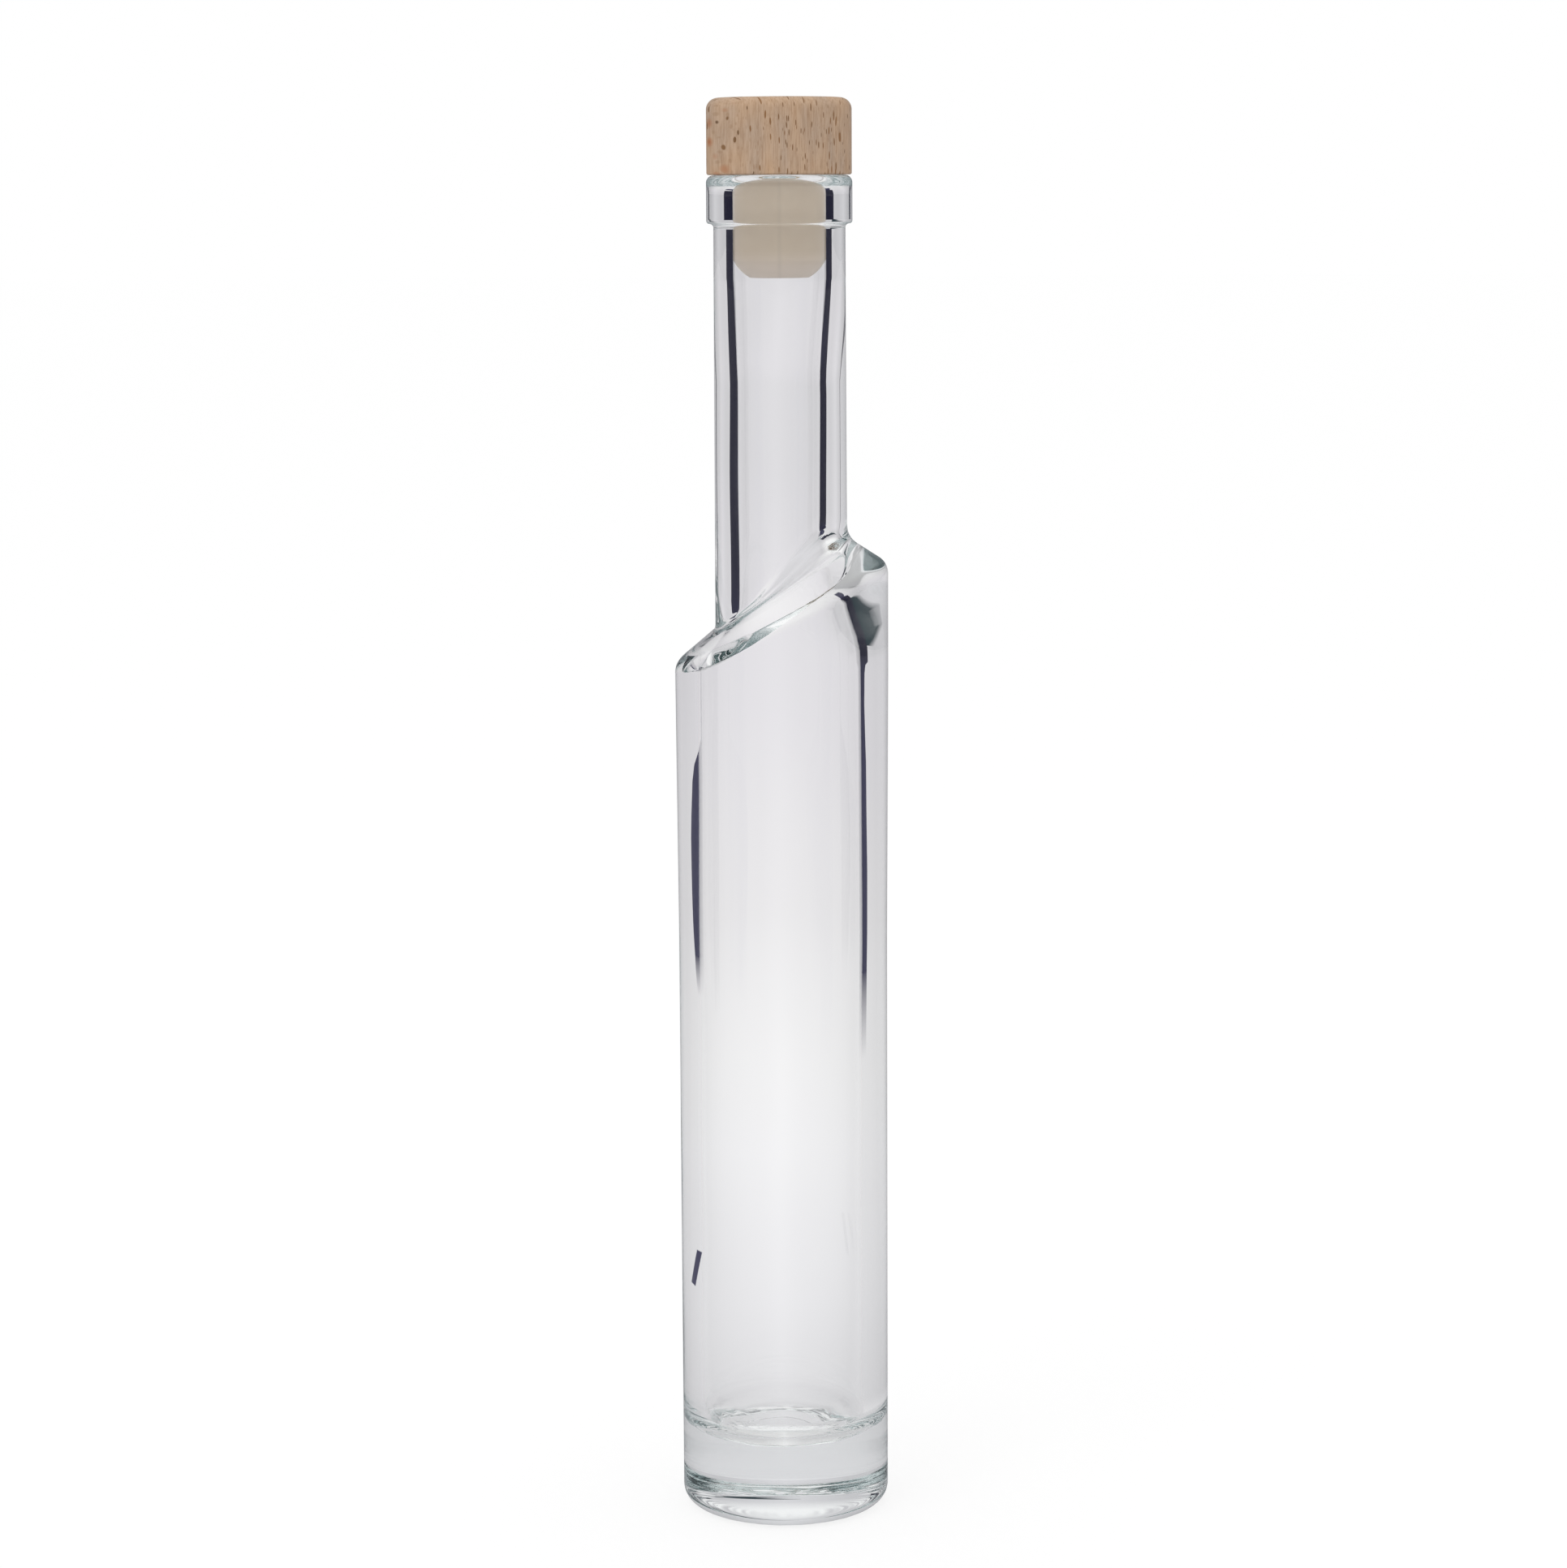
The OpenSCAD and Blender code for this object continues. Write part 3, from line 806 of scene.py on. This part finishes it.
seen = add_node(tree, "ShaderNodeMix", {"data_type": "RGBA"}, Factor=path.outputs["Is Camera Ray"],
                _6=mirrored.outputs[2], _7=(1, 1, 1, 1))
glow = add_node(tree, "ShaderNodeEmission", Color=seen.outputs[2], Strength=1.0)
matt = add_node(tree, "ShaderNodeBsdfDiffuse", Color=(1, 1, 1, 1))
both = add_node(tree, "ShaderNodeMixShader", _0=MATT_SHARE, _1=glow.outputs[0], _2=matt.outputs[0])
add_node(tree, "ShaderNodeOutputMaterial", Surface=both.outputs[0])
bm = bmesh.new()
bmesh.ops.create_grid(bm, x_segments=1, y_segments=1, size=FLOOR_SIZE)
print(stage_piece(bm, "paper_floor", paper).name)

# %% [markdown]
# A card must show in the glass and nowhere else: neither to the camera, nor as a
# shade on the wood. So its material is clear except to light that has been
# mirrored inside the glass, once or twice. A card ends softly where a fade says
# so: the fade measures along a direction in metres, from where the card is clear
# to where it is full. The cloth is paler below, where the paper lights it.

# %% Card material
CLOTH_LOW_Z = 0.1
CLOTH_HIGH_Z = 0.15


def card_material(name, colour, low_colour, most, fades):
    """A card that shows only where light has been mirrored inside the glass, at most so many times."""
    material, tree = new_material(name)
    path = add_node(tree, "ShaderNodeLightPath")
    few = add_node(tree, "ShaderNodeMath", {"operation": "COMPARE"}, _0=path.outputs["Glossy Depth"],
                   _1=(1 + most) / 2, _2=most / 2)
    shows = add_node(tree, "ShaderNodeMath", {"operation": "MINIMUM"},
                     _0=few.outputs[0], _1=path.outputs["Transmission Depth"])
    place = add_node(tree, "ShaderNodeTexCoord").outputs["Object"]
    for way, none_at, full_at in fades:
        along = add_node(tree, "ShaderNodeVectorMath", {"operation": "DOT_PRODUCT"}, _0=place, _1=way)
        thick = add_node(tree, "ShaderNodeMapRange", Value=along.outputs["Value"],
                         From_Min=none_at, From_Max=full_at)
        shows = add_node(tree, "ShaderNodeMath", {"operation": "MULTIPLY"},
                         _0=shows.outputs[0], _1=thick.outputs[0])
    axes = add_node(tree, "ShaderNodeSeparateXYZ", Vector=place)
    raised_share = add_node(tree, "ShaderNodeMapRange", Value=axes.outputs["Z"],
                            From_Min=CLOTH_LOW_Z, From_Max=CLOTH_HIGH_Z)
    cloth = add_node(tree, "ShaderNodeMix", {"data_type": "RGBA"}, Factor=raised_share.outputs[0],
                     _6=linear(low_colour), _7=linear(colour))
    clear = add_node(tree, "ShaderNodeBsdfTransparent")
    tone = add_node(tree, "ShaderNodeEmission", Color=cloth.outputs[2], Strength=1.0)
    both = add_node(tree, "ShaderNodeMixShader", _0=shows.outputs[0], _1=clear.outputs[0], _2=tone.outputs[0])
    add_node(tree, "ShaderNodeOutputMaterial", Surface=both.outputs[0])
    return material


# %% [markdown]
# Every card is bent round the bottle, so that each of its points is given by an
# angle from straight ahead and a height. A grid is bent into place by a rule
# that takes how far across and how far up the card a point lies.

# %% Helpers for curved cards
def round_bottle(away, degrees, height):
    """A point at a distance from the axis, an angle to the right of straight ahead, and a height."""
    angle = math.radians(degrees)
    return Vector((away * math.sin(angle), away * math.cos(angle), height))


def curved_card(name, material, grid, place_of):
    """A card of columns and rows whose rule places each point from its share across and its share up."""
    bm = bmesh.new()
    bmesh.ops.create_grid(bm, x_segments=grid[0], y_segments=grid[1], size=0.5)
    for v in bm.verts:
        v.co = place_of(v.co.x + 0.5, v.co.y + 0.5)
    card = stage_piece(bm, name, material)
    card.visible_camera = card.visible_diffuse = card.visible_shadow = False
    return card


# %% [markdown]
# The black cards stand behind the bottle on both sides and make the dark lines.
# Their edges towards the backdrop are cut on a slant, so the lines change their
# width with the height. The grey cards stand beside the camera, and make the
# paler lines that show when the bottle is seen from behind.

# %% Black and grey cards
CARD_H = 283
CARD_GRID = (10, 48)
CARD_FADES = [((0, 0, 1), 0.2705, 0.2665), ((0, 0, 1), 0.0, 0.02)]  # direction, clear at, full at
CARD_OUTER = ((0, 68), (122, 68), (131, 71), (283, 71))
CARD_SHAPES = {  # side, how far away, then the edge towards the backdrop: (height in mm, degrees)
    "right": (1, 0.45, ((0, 54), (12, 53), (60, 51), (100, 53), (115, 57), (130, 47), (283, 45))),
    "left": (-1, 0.516, ((0, 56), (8, 51), (60, 41), (80, 46), (92, 66), (122, 66), (131, 42), (283, 41))),
}


def edge_at(edge, height):
    """The angle of a card's slanted edge at a height in millimetres."""
    for (low, from_angle), (high, to_angle) in zip(edge, edge[1:]):
        if height <= high:
            return from_angle + (to_angle - from_angle) * (height - low) / (high - low)
    return edge[-1][1]


def far_place(side, across, up):
    """A point on a black card, from its share across and up."""
    sign, away, edge = CARD_SHAPES[side]
    inner, outer = edge_at(edge, CARD_H * up), edge_at(CARD_OUTER, CARD_H * up)
    return round_bottle(away, sign * (inner + (outer - inner) * across), CARD_H * up * MM)


card_black = card_material("black_card", "#010022", "#242345", 2, CARD_FADES)
card_grey = card_material("grey_card", "#c4c3cc", "#c4c3cc", 1, CARD_FADES)
for side in CARD_SHAPES:
    curved_card("far_card_" + side, card_black, CARD_GRID, lambda across, up: far_place(side, across, up))
    curved_card("near_card_" + side, card_grey, CARD_GRID,
                lambda across, up: far_place(side, across, up) * Vector((1, -1, 1)))
print(2 * len(CARD_SHAPES), "cards")

# %% [markdown]
# Far behind on the right hangs a dark teal curtain. The thick glass under the
# high side of the shoulder shows it as the dark blot. It fades along a slanted
# line, which gives the blot its pointed end, and softly towards its top.

# %% Curtain
CURTAIN_AWAY = 6.0
CURTAIN_LOW = 0.275
CURTAIN_H = 1.45
CURTAIN_FROM = -5
CURTAIN_SWEEP = 55
CURTAIN_GRID = (20, 4)
CURTAIN_FADES = [((1, 0, 3), 3.7, 4.9), ((0, 0, 1), 1.725, 1.5)]
curtain_net = card_material("curtain_net", "#00262e", "#00262e", 1, CURTAIN_FADES)
curtain = curved_card(
    "side_curtain", curtain_net, CURTAIN_GRID,
    lambda across, up: round_bottle(CURTAIN_AWAY, CURTAIN_FROM + CURTAIN_SWEEP * across,
                                    CURTAIN_LOW + CURTAIN_H * up))
print(curtain.name)

# %% [markdown]
# A small black clamp stands close behind the bottle on the left. The wall of the
# barrel mirrors it, and shows it as the short slanted dash in the glass.

# %% Clamp
CLAMP_AWAY = 0.1
CLAMP_LOW = 0.022
CLAMP_H = 0.0075
CLAMP_FROM = 41
CLAMP_SWEEP = 11
CLAMP_SLANT = 15
CLAMP_GRID = (2, 4)
black_clamp = card_material("black_clamp", "#23224a", "#23224a", 2, [])
clamp = curved_card(
    "side_clamp", black_clamp, CLAMP_GRID,
    lambda across, up: round_bottle(CLAMP_AWAY, -(CLAMP_FROM + CLAMP_SWEEP * across + CLAMP_SLANT * up),
                                    CLAMP_LOW + CLAMP_H * up))
print(clamp.name)

# %% [markdown]
# The world is the backdrop and the room. The camera sees it white. Matt surfaces
# are lit by plain white from all round. Glass bends in the backdrop, which has
# the shades of the studio, and white from the ceiling.

# %% World
CEILING_FROM = 0.35
CEILING_FULL = 0.65
world = bpy.data.worlds.new("studio")
bpy.context.scene.world = world
world.use_nodes = True
tree = world.node_tree
tree.nodes.clear()
path = add_node(tree, "ShaderNodeLightPath")
way = add_node(tree, "ShaderNodeTexCoord").outputs["Generated"]
backdrop = linear("#e0dfe2")[:3]
for level in (side_shade(tree, way), ghost_level(tree, path)):
    backdrop = add_node(tree, "ShaderNodeVectorMath", {"operation": "SCALE"},
                        _0=backdrop, Scale=level).outputs[0]
through = add_node(tree, "ShaderNodeMath", {"operation": "GREATER_THAN"},
                   _0=path.outputs["Transmission Depth"], _1=0.5)
sides = add_node(tree, "ShaderNodeMix", {"data_type": "RGBA"}, Factor=through.outputs[0],
                 _6=linear(MIRRORED_ROOM), _7=backdrop)
axes = add_node(tree, "ShaderNodeSeparateXYZ", Vector=way)
upwards = add_node(tree, "ShaderNodeMapRange", Value=axes.outputs["Z"],
                   From_Min=CEILING_FROM, From_Max=CEILING_FULL)
studio = add_node(tree, "ShaderNodeMix", {"data_type": "RGBA"}, Factor=upwards.outputs[0],
                  _6=sides.outputs[2], _7=(1, 1, 1, 1))
lighting = add_node(tree, "ShaderNodeMath", {"operation": "GREATER_THAN"},
                    _0=path.outputs["Diffuse Depth"], _1=0.5)
behind = add_node(tree, "ShaderNodeMix", {"data_type": "RGBA"}, Factor=lighting.outputs[0],
                  _6=studio.outputs[2], _7=(1, 1, 1, 1))
seen = add_node(tree, "ShaderNodeMix", {"data_type": "RGBA"}, Factor=path.outputs["Is Camera Ray"],
                _6=behind.outputs[2], _7=(1, 1, 1, 1))
back = add_node(tree, "ShaderNodeBackground", Color=seen.outputs[2], Strength=1.0)
add_node(tree, "ShaderNodeOutputWorld", Surface=back.outputs[0])
print(world.name)

# %% [markdown]
# One soft box from the upper left gives the wood its form. Glass doesn't show
# it, since the photograph has no such bright square in it. Light that is
# guided along a glass wall is mirrored many times, so the bounces are many.

# %% Lamp and bounces
BOUNCES = 96
LAMP_SIZE = 0.8
LAMP_WATTS = 3.0
LAMP_PLACE = Vector((-0.7, -0.8, 1.2))
LAMP_AIM = Vector((0, 0, 0.15))
lamp_data = bpy.data.lights.new("soft_box", "AREA")
lamp_data.shape = "SQUARE"
lamp_data.size = LAMP_SIZE
lamp_data.energy = LAMP_WATTS
lamp = bpy.data.objects.new("soft_box", lamp_data)
lamp.location = LAMP_PLACE
lamp.rotation_euler = (LAMP_AIM - LAMP_PLACE).to_track_quat("-Z", "Y").to_euler()
lamp.visible_glossy = lamp.visible_transmission = False
bpy.context.scene.collection.objects.link(lamp)
scene = bpy.context.scene
scene.view_settings.view_transform = "Standard"
scene.cycles.max_bounces = scene.cycles.transmission_bounces = scene.cycles.glossy_bounces = BOUNCES
print("light ready")
